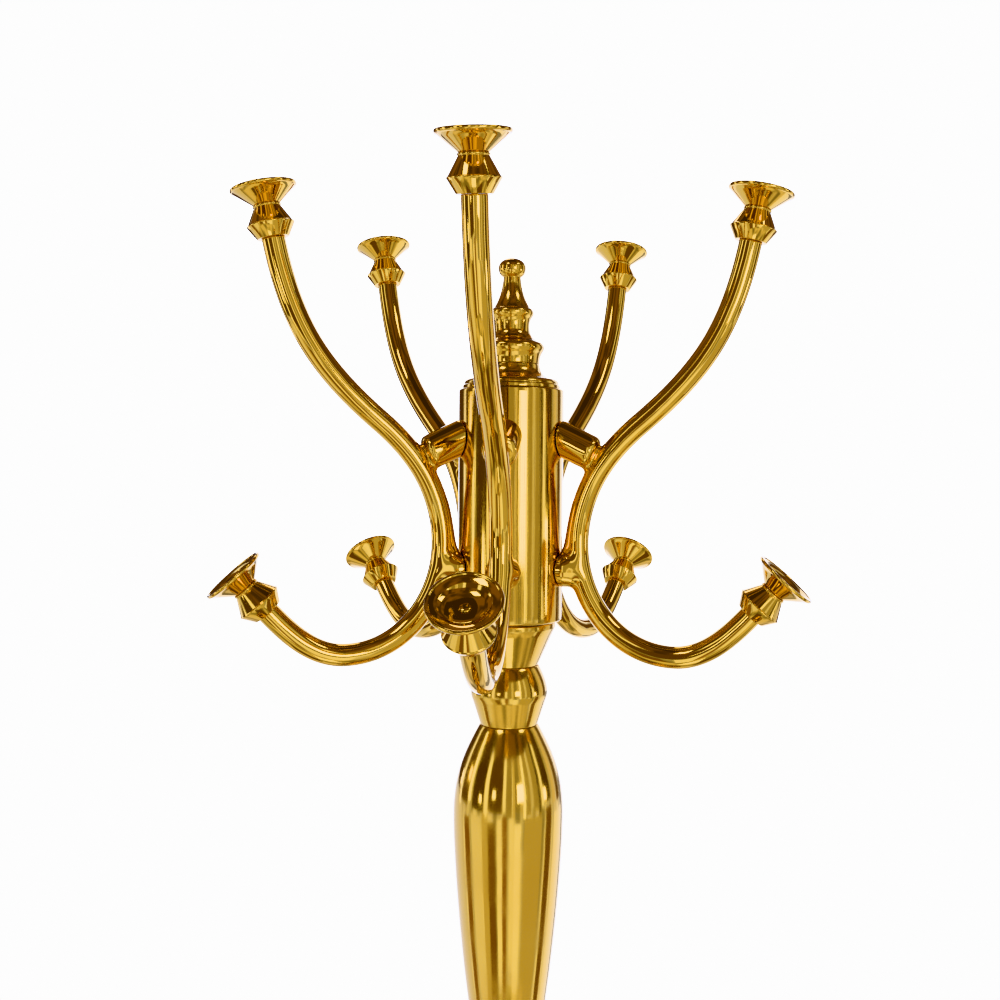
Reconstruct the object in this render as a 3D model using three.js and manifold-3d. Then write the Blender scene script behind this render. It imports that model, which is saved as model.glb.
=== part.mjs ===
// A free-standing candelabra of polished gold-plated metal, in millimetres, +Z up, standing on z = 0.
// A weighted round foot and a turned baluster column carry a tubular hub, and the hub turns on the
// column's centre rod. Five cast double brackets are screwed to the hub. Each bracket ends in an upper
// and a lower dish, which sit on double-cone collars, and one long screw holds each dish and collar.

import * as THREE from "three";
import { mergeVertices } from "three/addons/utils/BufferGeometryUtils.js";
import Module from "manifold-3d";

const wasm = await Module();
wasm.setup();

const GAP = 0.3; // play between pieces that are clamped together

// Foot
const PAD_R = 111;
const PAD_THICK = 3;
const FOOT_R = 116;
const WEIGHT_R = 99;
const WEIGHT_TOP_Z = 13;
const RECESS_R = 13; // room for the nut under the weight
const RECESS_TOP_Z = 10.3;
const FOOT_TOP_Z = 104;

// Column
const ROD_R = 6;
const ROD_BOTTOM_Z = 5;
const ROD_TOP_Z = 645;
const CLAMPED_BORE_R = 6.6;
const COLLAR_TOP_Z = 112;
const VASE_BOTTOM_Z = 152;
const BELLY_R = 40.4;
const BELLY_Z = 340.5;
const VASE_TOP_Z = 406.6;
const VASE_WALL = 3;
const KNOP_R = 28.2;
const KNOP_TOP_Z = 450.2;
const NECK_R = 21.3; // where the knop meets the vase below it and the seat above it
const SEAT_R = 33.4;
const SEAT_TOP_Z = 481.8;

// Hub
const HUB_R = 38;
const HUB_WALL = 4;
const HUB_BOTTOM_Z = 483;
const HUB_FLOOR_Z = 489;
const HUB_TOP_Z = 650;
const RUNNING_BORE_R = 6.1; // bore of the pieces that turn on the rod
const CAP_R = 35.3;
const CAP_TOP_Z = 668;
const CAP_TOP_R = 20.3;
const STUD_R = 4; // stud under the finial, screwed into the cap
const NUT_CORNER_R = 9.8;
const NUT_HEIGHT = 6;

// Brackets
const BRACKETS = 5;
const BRACKET_STEP = 360 / BRACKETS;
const FIRST_BRACKET = 57; // degrees round from +X
const BRACKET_SWINGS = [1, 0, -4, -10, -2]; // degrees that each one sits round from its even place
const ARM_R = 8;
const STUB_R = 12.5;
const STUB_GAP = 0.6; // open joint line between a stub and the hub
const UPPER_STUB_Z = 614.5;
const UPPER_STUB_FALL = 26; // degrees that the upper stub slopes down away from the hub
const UPPER_STUB_LENGTH = 24.3;
const LOWER_STUB_Z = 520.4;
const LOWER_STUB_END = 49; // distance of its end from the hub's axis
const BRACKET_SCREW_R = 2.5;
const BRACKET_SCREW_END = 47;

// Dishes and collars, each with its own Z along its axis and its zero at the middle of the rim
const RIM_R = 23.1;
const DISH_DEPTH = 12.8;
const DISH_NECK_R = 8.8;
const BOWL_DEPTH = 5.8;
const COLLAR_R = 16.2;
const COLLAR_CREASE_DEPTH = 26.6;
const COLLAR_BOTTOM_R = 10.8;
const COLLAR_BOTTOM_DEPTH = 35.3;
const DISH_SCREW_R = 2;
const DISH_SCREW_DEPTH = 46;
const SCREW_PLAY = 0.4;
const UPPER_DISH = { r: 176, z: 782, lean: 11.6 };
const LOWER_DISH = { r: 196, z: 520, lean: 42 };

const gold = new THREE.MeshStandardMaterial({ color: 0xd6a73c, roughness: 0.14, metalness: 1 });
const steel = new THREE.MeshStandardMaterial({ color: 0xa6a8a8, roughness: 0.35, metalness: 1 });
const iron = new THREE.MeshStandardMaterial({ color: 0x38383a, roughness: 0.8, metalness: 0.4 });
const nylon = new THREE.MeshStandardMaterial({ color: 0x17161a, roughness: 0.5, metalness: 0 });
const felt = new THREE.MeshStandardMaterial({ color: 0x1d241f, roughness: 1, metalness: 0 });

const candelabra = new THREE.Group();

function addPiece(parent, name, geometry, material = gold) {
  const mesh = new THREE.Mesh(geometry, material);
  mesh.name = name;
  parent.add(mesh);
  return mesh;
}

// Turns an outline of (radius, height) points about +Z. The outline runs up the outside of the piece, and
// its two ends are joined to the bore, or to the axis where there is no bore.
function turned(outline, { bore = 0, sides = 24, curveSteps = 4 } = {}) {
  const outside = outline.getPoints(curveSteps);
  const bottom = new THREE.Vector2(bore, outside[0].y);
  const top = new THREE.Vector2(bore, outside.at(-1).y);
  const profile = [bottom, ...outside, top];
  if (bore > 0) profile.push(bottom.clone());
  return new THREE.LatheGeometry(profile, sides).rotateX(Math.PI / 2);
}

// Turns an outline that already closes on itself, running anticlockwise round the metal.
function turnedShell(outline, { sides = 24, curveSteps = 4 } = {}) {
  return new THREE.LatheGeometry(outline.getPoints(curveSteps), sides).rotateX(Math.PI / 2);
}

function solidOf(geometry) {
  geometry.deleteAttribute("normal");
  geometry.deleteAttribute("uv");
  const merged = mergeVertices(geometry, 1e-4);
  const vertProperties = new Float32Array(merged.attributes.position.array);
  const triVerts = new Uint32Array(merged.index.array);
  return new wasm.Manifold(new wasm.Mesh({ numProp: 3, vertProperties, triVerts }));
}

function geometryOf(solid) {
  const mesh = solid.getMesh();
  const geometry = new THREE.BufferGeometry();
  geometry.setAttribute("position", new THREE.BufferAttribute(mesh.vertProperties, 3));
  geometry.setIndex(new THREE.BufferAttribute(mesh.triVerts, 1));
  geometry.computeVertexNormals();
  return geometry;
}

// A plain round bar between two points of the XZ plane, as a solid to join or cut with.
function bar(from, to, radius, sides) {
  const start = new THREE.Vector3(from[0], 0, from[1]);
  const along = new THREE.Vector3(to[0], 0, to[1]).sub(start);
  const cylinder = new THREE.CylinderGeometry(radius, radius, along.length(), sides);
  const turn = new THREE.Quaternion();
  turn.setFromUnitVectors(new THREE.Vector3(0, 1, 0), along.clone().normalize());
  cylinder.applyQuaternion(turn);
  cylinder.translate(...start.addScaledVector(along, 0.5).toArray());
  return solidOf(cylinder);
}

// ---- Foot ----

function makeFoot() {
  const pad = new THREE.Path().moveTo(PAD_R, 0).lineTo(PAD_R, PAD_THICK);
  addPiece(candelabra, "base_pad", turned(pad), felt);

  const weightBottom = PAD_THICK + GAP;
  const weight = new THREE.Path()
    .moveTo(RECESS_R, weightBottom)
    .lineTo(WEIGHT_R, weightBottom)
    .lineTo(WEIGHT_R, WEIGHT_TOP_Z)
    .lineTo(CLAMPED_BORE_R, WEIGHT_TOP_Z)
    .lineTo(CLAMPED_BORE_R, RECESS_TOP_Z)
    .lineTo(RECESS_R, RECESS_TOP_Z)
    .lineTo(RECESS_R, weightBottom);
  addPiece(candelabra, "base_weight", turnedShell(weight), iron);

  // A spun shell: a plain rim band, one bead, and a hollow-sided bell that rises to the column.
  const cover = new THREE.Path()
    .moveTo(FOOT_R, 1.5)
    .lineTo(FOOT_R, 7)
    .quadraticCurveTo(FOOT_R, 13.5, 109, 14.5)
    .lineTo(101, 16)
    .quadraticCurveTo(96, 17, 95.5, 21)
    .quadraticCurveTo(95, 26, 88, 26.5)
    .bezierCurveTo(60, 31, 24, 48, 19.5, FOOT_TOP_Z)
    .lineTo(CLAMPED_BORE_R, FOOT_TOP_Z)
    .lineTo(CLAMPED_BORE_R, FOOT_TOP_Z - 3)
    .lineTo(16.8, FOOT_TOP_Z - 3)
    .bezierCurveTo(22, 49, 57, 29, 88, 24)
    .quadraticCurveTo(92.5, 23.5, 93, 19)
    .quadraticCurveTo(94, 14.5, 101, 13.6)
    .lineTo(108, 12.2)
    .quadraticCurveTo(FOOT_R - 2, 11, FOOT_R - 2, 6)
    .lineTo(FOOT_R - 2, 1.5)
    .lineTo(FOOT_R, 1.5);
  addPiece(candelabra, "base_cover", turnedShell(cover, { sides: 24, curveSteps: 3 }));
}

// ---- Column ----

function hexNut(bottomZ) {
  const outline = new THREE.Shape();
  for (let corner = 0; corner < 6; corner += 1) {
    const angle = (corner * Math.PI) / 3;
    const point = [NUT_CORNER_R * Math.cos(angle), NUT_CORNER_R * Math.sin(angle)];
    if (corner === 0) outline.moveTo(...point);
    else outline.lineTo(...point);
  }
  outline.holes.push(new THREE.Path().absarc(0, 0, ROD_R + GAP, 0, 2 * Math.PI, true));
  const upright = { depth: NUT_HEIGHT, bevelEnabled: false, curveSegments: 8 };
  const nut = new THREE.ExtrudeGeometry(outline, upright);
  return nut.translate(0, 0, bottomZ);
}

function makeColumn() {
  const rod = new THREE.Path().moveTo(ROD_R, ROD_BOTTOM_Z).lineTo(ROD_R, ROD_TOP_Z);
  addPiece(candelabra, "centre_rod", turned(rod), steel);
  addPiece(candelabra, "base_nut", hexNut(RECESS_TOP_Z - NUT_HEIGHT - GAP), steel);

  const ring = new THREE.Path()
    .moveTo(19.5, FOOT_TOP_Z + GAP)
    .quadraticCurveTo(25, FOOT_TOP_Z + GAP, 25, FOOT_TOP_Z + 4)
    .quadraticCurveTo(25, COLLAR_TOP_Z - GAP, 19.5, COLLAR_TOP_Z - GAP);
  addPiece(candelabra, "base_ring", turned(ring, { bore: CLAMPED_BORE_R, curveSteps: 2 }));

  const lowerKnop = new THREE.Path()
    .moveTo(19, COLLAR_TOP_Z)
    .lineTo(26.4, COLLAR_TOP_Z + 19)
    .bezierCurveTo(27.6, COLLAR_TOP_Z + 25, 25, COLLAR_TOP_Z + 33, 19.5, VASE_BOTTOM_Z - GAP);
  addPiece(candelabra, "base_knop", turned(lowerKnop, { bore: CLAMPED_BORE_R }));

  const vase = new THREE.Path()
    .moveTo(CLAMPED_BORE_R, VASE_BOTTOM_Z)
    .lineTo(19.8, VASE_BOTTOM_Z)
    .bezierCurveTo(31, 198, BELLY_R, 300, BELLY_R, BELLY_Z)
    .bezierCurveTo(BELLY_R, 371.5, 31, 388.6, NECK_R, VASE_TOP_Z)
    .lineTo(CLAMPED_BORE_R, VASE_TOP_Z)
    .lineTo(CLAMPED_BORE_R, VASE_TOP_Z - 5)
    .lineTo(NECK_R - 1, VASE_TOP_Z - 5)
    .bezierCurveTo(29.4, 384.6, BELLY_R - VASE_WALL, 367.5, BELLY_R - VASE_WALL, BELLY_Z)
    .bezierCurveTo(BELLY_R - VASE_WALL, 300, 28, 198, 17.6, VASE_BOTTOM_Z + 6)
    .lineTo(CLAMPED_BORE_R, VASE_BOTTOM_Z + 6)
    .lineTo(CLAMPED_BORE_R, VASE_BOTTOM_Z);
  addPiece(candelabra, "baluster_vase", turnedShell(vase, { sides: 24, curveSteps: 5 }));

  const knop = new THREE.Path()
    .moveTo(NECK_R, VASE_TOP_Z + GAP)
    .lineTo(KNOP_R - 0.4, 427)
    .bezierCurveTo(KNOP_R + 0.8, 433, 26.4, 441.5, NECK_R, KNOP_TOP_Z);
  addPiece(candelabra, "neck_knop", turned(knop, { bore: CLAMPED_BORE_R }));

  const seat = new THREE.Path()
    .moveTo(NECK_R, KNOP_TOP_Z + GAP)
    .lineTo(SEAT_R - 0.5, SEAT_TOP_Z - 5)
    .lineTo(SEAT_R, SEAT_TOP_Z - 4)
    .lineTo(SEAT_R, SEAT_TOP_Z - 0.8)
    .lineTo(SEAT_R - 0.8, SEAT_TOP_Z);
  addPiece(candelabra, "hub_seat", turned(seat, { bore: CLAMPED_BORE_R }));

  const washer = new THREE.Path()
    .moveTo(SEAT_R - 2, SEAT_TOP_Z + 0.2)
    .lineTo(SEAT_R - 2, HUB_BOTTOM_Z - 0.2);
  addPiece(candelabra, "bearing_washer", turned(washer, { bore: CLAMPED_BORE_R }), nylon);
  addPiece(candelabra, "hub_nut", hexNut(HUB_FLOOR_Z + GAP), steel);
}

// ---- Hub ----

function bracketAzimuth(number) {
  return THREE.MathUtils.degToRad(FIRST_BRACKET + number * BRACKET_STEP + BRACKET_SWINGS[number]);
}

function makeHub() {
  const insideR = HUB_R - HUB_WALL;
  const tube = new THREE.Path()
    .moveTo(RUNNING_BORE_R, HUB_BOTTOM_Z)
    .lineTo(HUB_R - 1, HUB_BOTTOM_Z)
    .lineTo(HUB_R, HUB_BOTTOM_Z + 1)
    .lineTo(HUB_R, HUB_TOP_Z - 1)
    .lineTo(HUB_R - 1, HUB_TOP_Z)
    .lineTo(insideR, HUB_TOP_Z)
    .lineTo(insideR, HUB_FLOOR_Z)
    .lineTo(RUNNING_BORE_R, HUB_FLOOR_Z)
    .lineTo(RUNNING_BORE_R, HUB_BOTTOM_Z);
  let sleeve = solidOf(turnedShell(tube, { sides: 30 }));
  for (let number = 0; number < BRACKETS; number += 1) {
    const azimuth = THREE.MathUtils.radToDeg(bracketAzimuth(number));
    for (const z of [UPPER_STUB_Z, LOWER_STUB_Z]) {
      const hole = bar([insideR - 4, z], [HUB_R + 4, z], BRACKET_SCREW_R + SCREW_PLAY, 8);
      sleeve = sleeve.subtract(hole.rotate([0, 0, azimuth]));
    }
  }
  addPiece(candelabra, "hub_sleeve", geometryOf(sleeve));

  const cap = new THREE.Path()
    .moveTo(RUNNING_BORE_R, 632)
    .lineTo(12, 632)
    .lineTo(12, 641)
    .lineTo(insideR - 0.5, 641)
    .lineTo(insideR - 0.5, HUB_TOP_Z + GAP)
    .lineTo(CAP_R, HUB_TOP_Z + GAP)
    .lineTo(CAP_R, 653)
    .quadraticCurveTo(CAP_R, 656.6, 31.5, 657.1)
    .lineTo(28, 657.4)
    .bezierCurveTo(24, 659, 21, 662, CAP_TOP_R, CAP_TOP_Z)
    .lineTo(STUD_R + GAP, CAP_TOP_Z)
    .lineTo(STUD_R + GAP, ROD_TOP_Z + 1)
    .lineTo(RUNNING_BORE_R, ROD_TOP_Z + 1)
    .lineTo(RUNNING_BORE_R, 632);
  addPiece(candelabra, "hub_cap", turnedShell(cap, { curveSteps: 3 }));

  const finial = new THREE.Path()
    .moveTo(STUD_R, ROD_TOP_Z + 8)
    .lineTo(STUD_R, CAP_TOP_Z + GAP)
    .lineTo(CAP_TOP_R, CAP_TOP_Z + GAP)
    .quadraticCurveTo(20.4, 674, 22.6, 677)
    .quadraticCurveTo(24.9, 680.2, 22.4, 683)
    .lineTo(20.4, 684.2)
    .bezierCurveTo(15.5, 686, 13, 690, 12.9, 694.4)
    .bezierCurveTo(12.8, 698.5, 13.4, 700.5, 15, 702.4)
    .quadraticCurveTo(17, 705.4, 14.6, 708)
    .lineTo(13.7, 708.3)
    .bezierCurveTo(9.5, 714, 7, 722, 6.3, 731)
    .quadraticCurveTo(10, 732.8, 10, 737.7)
    .bezierCurveTo(10, 741.6, 6, 744.7, 0, 744.7);
  addPiece(candelabra, "finial", turned(finial, { sides: 16, curveSteps: 3 }));
}

// ---- Brackets ----

// A point of an arm's centre line, and the way the line runs there: lean is measured from straight down
// towards the outside, so 0 runs down, 90 runs outwards and -50 runs down and inwards.
function station(r, z, lean) {
  const angle = THREE.MathUtils.degToRad(lean);
  return {
    point: new THREE.Vector3(r, 0, z),
    heading: new THREE.Vector3(Math.sin(angle), 0, -Math.cos(angle)),
  };
}

// The end of an arm, where the collar of a dish sits on it.
function armEnd(dish) {
  const lean = THREE.MathUtils.degToRad(dish.lean);
  const depth = COLLAR_BOTTOM_DEPTH + GAP;
  return [dish.r - depth * Math.sin(lean), dish.z - depth * Math.cos(lean)];
}

// One line from the upper dish, down and in along the hub, then down and out again to the lower dish.
function armLine() {
  const stations = [
    station(...armEnd(UPPER_DISH), -UPPER_DISH.lean),
    station(148.3, 686, -27.8),
    station(95, 624.8, -50),
    station(58, 577, -22),
    station(50.5, 539, 0),
    station(120, 461.7, 90),
    station(...armEnd(LOWER_DISH), 180 - LOWER_DISH.lean),
  ];
  const line = new THREE.CurvePath();
  for (let i = 1; i < stations.length; i += 1) {
    const from = stations[i - 1];
    const to = stations[i];
    const turn = from.heading.angleTo(to.heading);
    const handle = from.point.distanceTo(to.point) / (3 * Math.cos(turn / 4) ** 2);
    const leaving = from.point.clone().addScaledVector(from.heading, handle);
    const arriving = to.point.clone().addScaledVector(to.heading, -handle);
    line.add(new THREE.CubicBezierCurve3(from.point, leaving, arriving, to.point));
  }
  return line;
}

function dishScrewHole(dish) {
  const lean = THREE.MathUtils.degToRad(dish.lean);
  const along = (depth) => [dish.r - depth * Math.sin(lean), dish.z - depth * Math.cos(lean)];
  const radius = DISH_SCREW_R + SCREW_PLAY;
  return bar(along(COLLAR_BOTTOM_DEPTH - 2), along(DISH_SCREW_DEPTH + 1), radius, 8);
}

function bracketGeometry() {
  const section = new THREE.Shape().absarc(0, 0, ARM_R, 0, 2 * Math.PI);
  const sweep = new THREE.ExtrudeGeometry(section, { extrudePath: armLine(), steps: 30, curveSegments: 4 });
  const fall = THREE.MathUtils.degToRad(UPPER_STUB_FALL);
  const upperEnd = [
    HUB_R + UPPER_STUB_LENGTH * Math.cos(fall),
    UPPER_STUB_Z - UPPER_STUB_LENGTH * Math.sin(fall),
  ];
  const insideHub = HUB_R - 4;
  const upperStart = [insideHub, UPPER_STUB_Z + 4 * Math.tan(fall)];
  const spine = [upperEnd[0] + 12, upperEnd[1] - 12 * Math.tan(fall)];
  const screwHoleR = BRACKET_SCREW_R + SCREW_PLAY;
  const screwHoleEnd = BRACKET_SCREW_END + 1;

  let bracket = solidOf(sweep)
    .add(bar(upperStart, upperEnd, STUB_R, 14))
    .add(bar(upperEnd, spine, ARM_R, 8))
    .add(bar([insideHub, LOWER_STUB_Z], [LOWER_STUB_END, LOWER_STUB_Z], STUB_R, 14));
  bracket = bracket
    .subtract(bar([0, HUB_BOTTOM_Z], [0, HUB_TOP_Z], HUB_R + STUB_GAP, 30))
    .subtract(bar([insideHub, UPPER_STUB_Z], [screwHoleEnd, UPPER_STUB_Z], screwHoleR, 8))
    .subtract(bar([insideHub, LOWER_STUB_Z], [screwHoleEnd, LOWER_STUB_Z], screwHoleR, 8))
    .subtract(dishScrewHole(UPPER_DISH))
    .subtract(dishScrewHole(LOWER_DISH));
  return geometryOf(bracket);
}

// ---- Dishes ----

function dishGeometry() {
  const boreR = DISH_SCREW_R + SCREW_PLAY;
  const dish = new THREE.Path()
    .moveTo(boreR, -DISH_DEPTH)
    .lineTo(DISH_NECK_R, -DISH_DEPTH)
    .lineTo(RIM_R - 0.9, -2.3)
    .lineTo(RIM_R, -1.4)
    .lineTo(RIM_R - 0.9, 0)
    .lineTo(RIM_R - 2.3, -0.5)
    .lineTo(15.5, -2.2)
    .quadraticCurveTo(11.5, -BOWL_DEPTH, 4.5, -BOWL_DEPTH)
    .lineTo(boreR, -BOWL_DEPTH)
    .lineTo(boreR, -DISH_DEPTH);
  return turnedShell(dish, { sides: 16, curveSteps: 2 });
}

function collarGeometry() {
  const collar = new THREE.Path()
    .moveTo(COLLAR_BOTTOM_R, -COLLAR_BOTTOM_DEPTH)
    .lineTo(COLLAR_R, -COLLAR_CREASE_DEPTH)
    .lineTo(DISH_NECK_R, -DISH_DEPTH - GAP);
  return turned(collar, { bore: DISH_SCREW_R + SCREW_PLAY, sides: 12 });
}

function dishScrewGeometry() {
  const headBottom = -BOWL_DEPTH + GAP;
  const screw = new THREE.Path()
    .moveTo(DISH_SCREW_R, -DISH_SCREW_DEPTH)
    .lineTo(DISH_SCREW_R, headBottom)
    .lineTo(3.4, headBottom)
    .lineTo(2.7, headBottom + 1.3);
  return turned(screw, { sides: 8 });
}

function bracketScrewGeometry() {
  const headOutside = HUB_R - HUB_WALL - 0.7;
  const screw = new THREE.Path()
    .moveTo(4.5, headOutside - 4)
    .lineTo(4.5, headOutside)
    .lineTo(BRACKET_SCREW_R, headOutside)
    .lineTo(BRACKET_SCREW_R, BRACKET_SCREW_END);
  return turned(screw, { sides: 8 }).rotateY(Math.PI / 2);
}

function makeArms() {
  const shapes = {
    bracket: bracketGeometry(),
    dish: dishGeometry(),
    collar: collarGeometry(),
    dishScrew: dishScrewGeometry(),
    bracketScrew: bracketScrewGeometry(),
  };
  for (let number = 0; number < BRACKETS; number += 1) {
    const side = new THREE.Group();
    side.rotation.z = bracketAzimuth(number);
    candelabra.add(side);
    addPiece(side, `bracket_${number + 1}`, shapes.bracket);
    const levels = [
      ["upper", UPPER_DISH, UPPER_STUB_Z],
      ["lower", LOWER_DISH, LOWER_STUB_Z],
    ];
    for (const [level, dish, stubZ] of levels) {
      const label = `${level}_${number + 1}`;
      const cup = new THREE.Group();
      cup.position.set(dish.r, 0, dish.z);
      cup.rotation.y = THREE.MathUtils.degToRad(dish.lean);
      side.add(cup);
      addPiece(cup, `dish_${label}`, shapes.dish);
      addPiece(cup, `collar_${label}`, shapes.collar);
      addPiece(cup, `dish_screw_${label}`, shapes.dishScrew);
      const screw = addPiece(side, `bracket_screw_${label}`, shapes.bracketScrew, steel);
      screw.position.z = stubZ;
    }
  }
}

makeFoot();
makeColumn();
makeHub();
makeArms();

export default candelabra;
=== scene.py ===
"""The looks of the tabletop candelabra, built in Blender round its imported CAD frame.

Lengths are in millimetres until a mesh is made, where MM turns them into metres. Turned pieces are
lathed from an outline with softened corners, the cast brackets are meshed from a blended distance
field, and both carry the exact normals of their surfaces, so that the polish reflects cleanly.
"""

import math

import bpy
import numpy as np
import openvdb
from mathutils import Matrix, Vector


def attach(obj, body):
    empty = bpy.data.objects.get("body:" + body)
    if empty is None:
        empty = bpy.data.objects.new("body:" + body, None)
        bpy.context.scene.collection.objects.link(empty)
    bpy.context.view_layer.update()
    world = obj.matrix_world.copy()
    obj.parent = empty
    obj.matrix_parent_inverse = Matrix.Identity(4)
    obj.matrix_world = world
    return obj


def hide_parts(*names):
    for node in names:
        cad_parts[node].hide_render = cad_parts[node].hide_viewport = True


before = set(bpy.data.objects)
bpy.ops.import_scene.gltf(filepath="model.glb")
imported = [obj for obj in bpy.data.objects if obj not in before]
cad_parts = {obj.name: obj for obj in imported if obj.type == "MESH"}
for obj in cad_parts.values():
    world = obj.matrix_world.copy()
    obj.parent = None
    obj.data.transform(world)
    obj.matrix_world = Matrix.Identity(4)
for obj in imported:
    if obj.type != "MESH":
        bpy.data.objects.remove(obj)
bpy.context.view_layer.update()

MM = 0.001

# ---- Sizes, in millimetres and degrees: those of the CAD, unless a comment says otherwise ----

GAP = 0.3
CLAMPED_BORE_R = 6.6
RUNNING_BORE_R = 6.1
FOOT_R = 116
FOOT_TOP_Z = 104
COLLAR_TOP_Z = 112
VASE_BOTTOM_Z = 152
VASE_TOP_Z = 406.6
BELLY_R = 40.4
BELLY_Z = 340.5
KNOP_R = 28.2
KNOP_TOP_Z = 450.2
NECK_R = 21.3
SEAT_R = 33.4
SEAT_TOP_Z = 481.8
HUB_R = 38
HUB_WALL = 4
HUB_BOTTOM_Z = 483
HUB_FLOOR_Z = 489
HUB_TOP_Z = 650
CAP_R = 35.3
CAP_TOP_Z = 668
CAP_TOP_R = 20.3
ROD_TOP_Z = 645
STUD_R = 4

AZIMUTHS = [58, 129, 197, 263, 343]
ARM_R = 8
STUB_R = 12.5
STUB_GAP = 0.6
UPPER_STUB_Z = 614.5
UPPER_STUB_FALL = 26
UPPER_STUB_LENGTH = 27.0  # more than in the CAD, to make up for its softened end
LOWER_STUB_Z = 520.4
LOWER_STUB_END = (40, 520.4)  # the middle of a ball end, where the CAD has a flat one
# Not in the CAD: the web that closes the foot of the open window beside the hub, and the fillets
WEB_BOTTOM = (43.6, 530)
WEB_TOP = (52.5, 566)
WEB_R = 5
UPPER_STUB_FILLET = 4.5
UPPER_STUB_EDGE = 5.0  # how far the end of the upper stub is softened
LOWER_STUB_FILLET = 7.0
WEB_FILLET = 3.0
STUB_ROOT = 6  # how far the stubs start inside the hub's outline, before they are cut to it
HUB_EDGE = 0.9
ARM_END_EDGE = 0.6

RIM_R = 22.6  # a little less than in the CAD, as is the collar, to stay inside its box
DISH_DEPTH = 12.8
DISH_NECK_R = 8.8
BOWL_DEPTH = 5.8
COLLAR_R = 16.1
COLLAR_CREASE_DEPTH = 26.6
COLLAR_BOTTOM_R = 10.8
COLLAR_BOTTOM_DEPTH = 35.3
ARM_GAP = 0.05  # between an arm's end and its collar
DISH_SCREW_R = 2
DISH_SCREW_HEAD_R = 3.4
DISH_SCREW_DEPTH = 46
SCREW_PLAY = 0.4
DISHES = {"upper": (176, 782, 11.6), "lower": (196, 520, 42)}  # r, z and lean of each rim


# ---- Turned pieces ----


SIDES = 96
LARGEST_TURN = 5  # degrees between neighbouring points of a thinned outline
LONGEST_STEP = 6
ON_AXIS = 0.02


class Outline:
    """A line in the (radius, height) plane that runs up the outside of a turned piece."""

    STEP = 0.1  # between its points, before it is thinned

    def __init__(self, r, z):
        self.points = [np.array([r, z], float)]

    def _sample(self, controls):
        controls = [self.points[-1]] + [np.array(c, float) for c in controls]
        reach = sum(np.linalg.norm(b - a) for a, b in zip(controls, controls[1:]))
        for t in np.linspace(0, 1, max(2, int(reach / self.STEP)))[1:]:
            level = controls
            while len(level) > 1:
                level = [a + (b - a) * t for a, b in zip(level, level[1:])]
            self.points.append(level[0])
        return self

    def line(self, r, z):
        return self._sample([(r, z)])

    def curve(self, *controls):
        return self._sample(controls)

    def close(self):
        return self._sample([self.points[0]])


def softened(points, radius, closed):
    """The outline with its corners softened, as points and unit tangents, thinned where it is straight."""
    points = np.array(points)
    if closed:
        points = points[:-1]
    reach = max(2, int(3 * radius / Outline.STEP))
    kernel = np.exp(-0.5 * (np.arange(-reach, reach + 1) * Outline.STEP / (0.6 * radius)) ** 2)
    kernel /= kernel.sum()
    if closed:
        padded = np.concatenate([points[-reach:], points, points[:reach]])
    else:
        before = 2 * points[0] - points[reach:0:-1]
        after = 2 * points[-1] - points[-2 : -reach - 2 : -1]
        padded = np.concatenate([before, points, after])
    smooth = np.stack([np.convolve(padded[:, k], kernel, "valid") for k in (0, 1)], 1)
    if closed:
        ahead, behind = np.roll(smooth, -1, 0), np.roll(smooth, 1, 0)
        tangents = ahead - behind
    else:
        tangents = np.gradient(smooth, axis=0)
    tangents /= np.linalg.norm(tangents, axis=1, keepdims=True)
    keep = [0]
    for i in range(1, len(smooth)):
        turned = np.dot(tangents[i], tangents[keep[-1]]) < math.cos(math.radians(LARGEST_TURN))
        if turned or np.linalg.norm(smooth[i] - smooth[keep[-1]]) > LONGEST_STEP:
            keep.append(i)
    if not closed and keep[-1] != len(smooth) - 1:
        keep.append(len(smooth) - 1)
    return smooth[keep], tangents[keep]


OWN_PLACE = "own_place"  # where each point lies on its piece before the piece is placed, for the materials


def make_mesh(name, points, faces, normals):
    """A smooth mesh with the normals given, from points in millimetres."""
    mesh = bpy.data.meshes.new(name)
    mesh.from_pydata((np.asarray(points) * MM).tolist(), [], faces)
    mesh.update()
    mesh.shade_smooth()
    mesh.normals_split_custom_set_from_vertices(np.asarray(normals).tolist())
    own_place = mesh.attributes.new(OWN_PLACE, "FLOAT_VECTOR", "POINT")
    own_place.data.foreach_set("vector", (np.asarray(points) * MM).ravel())
    return mesh


def lathe(name, outline, soft=0.5, sides=SIDES, closed=False):
    """Turns the outline round the z axis. An outline that starts and ends on the axis isn't closed."""
    line, tangents = softened(outline.points, soft, closed)
    turns = np.linspace(0, 2 * math.pi, sides, endpoint=False)
    points, normals, rows = [], [], []
    for (r, z), (tr, tz) in zip(line, tangents):
        if r < ON_AXIS:
            rows.append([len(points)] * sides)
            points.append((0, 0, z))
            normals.append((0, 0, -1.0 if not points[:-1] else 1.0))
            continue
        rows.append(list(range(len(points), len(points) + sides)))
        for turn in turns:
            points.append((r * math.cos(turn), r * math.sin(turn), z))
            normals.append((tz * math.cos(turn), tz * math.sin(turn), -tr))
    faces = []
    pairs = list(zip(rows, rows[1:]))
    if closed:
        pairs.append((rows[-1], rows[0]))
    for low, high in pairs:
        for i in range(sides):
            j = (i + 1) % sides
            corners = [low[i], low[j], high[j], high[i]]
            faces.append(tuple(dict.fromkeys(corners)))
    return make_mesh(name, points, faces, normals)


def place(name, mesh, material, body, replaced, at=None):
    """Puts a gold piece in the scene, in place of the CAD nodes it stands for."""
    if at is not None:
        mesh = mesh.copy()
        mesh.transform(at)
    mesh.materials.append(material)
    piece = bpy.data.objects.new(name, mesh)
    bpy.context.scene.collection.objects.link(piece)
    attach(piece, body)
    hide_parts(*replaced)


# ---- Materials ----


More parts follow.
